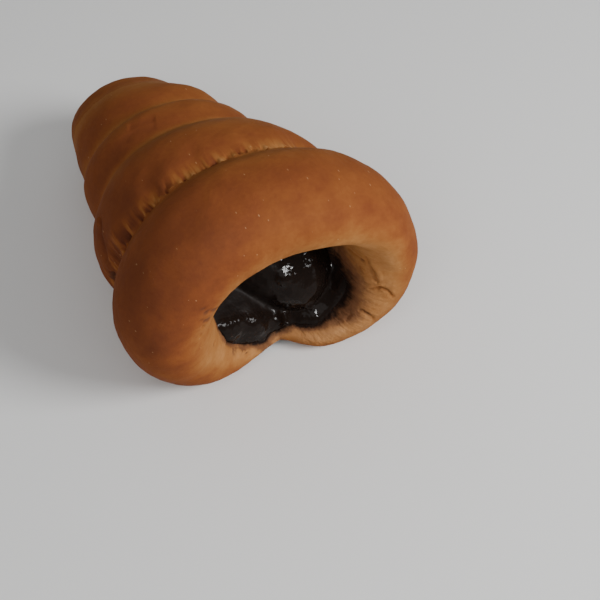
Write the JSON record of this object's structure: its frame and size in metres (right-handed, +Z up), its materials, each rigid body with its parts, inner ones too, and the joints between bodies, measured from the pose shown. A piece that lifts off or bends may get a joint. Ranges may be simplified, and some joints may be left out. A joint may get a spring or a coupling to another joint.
{
  "type": "filled bread cornet",
  "caption": "Spiral-wound bread cornet lying on its side, its wide mouth filled with glossy chocolate cream.",
  "frame": {"origin": "middle of the footprint, on the surface the cornet lies on", "axes": "+Z up, +Y from the mouth to the closed tip, +X to the right of someone who faces the mouth"},
  "size_m": [0.0872, 0.1216, 0.0693],
  "materials": {
    "crust": "baked golden-brown crust with a soft sheen",
    "cream": "wet, glossy dark chocolate cream"
  },
  "bodies": {
    "root": {"bread": "crust", "filling": "cream"}
  },
  "joints": []
}
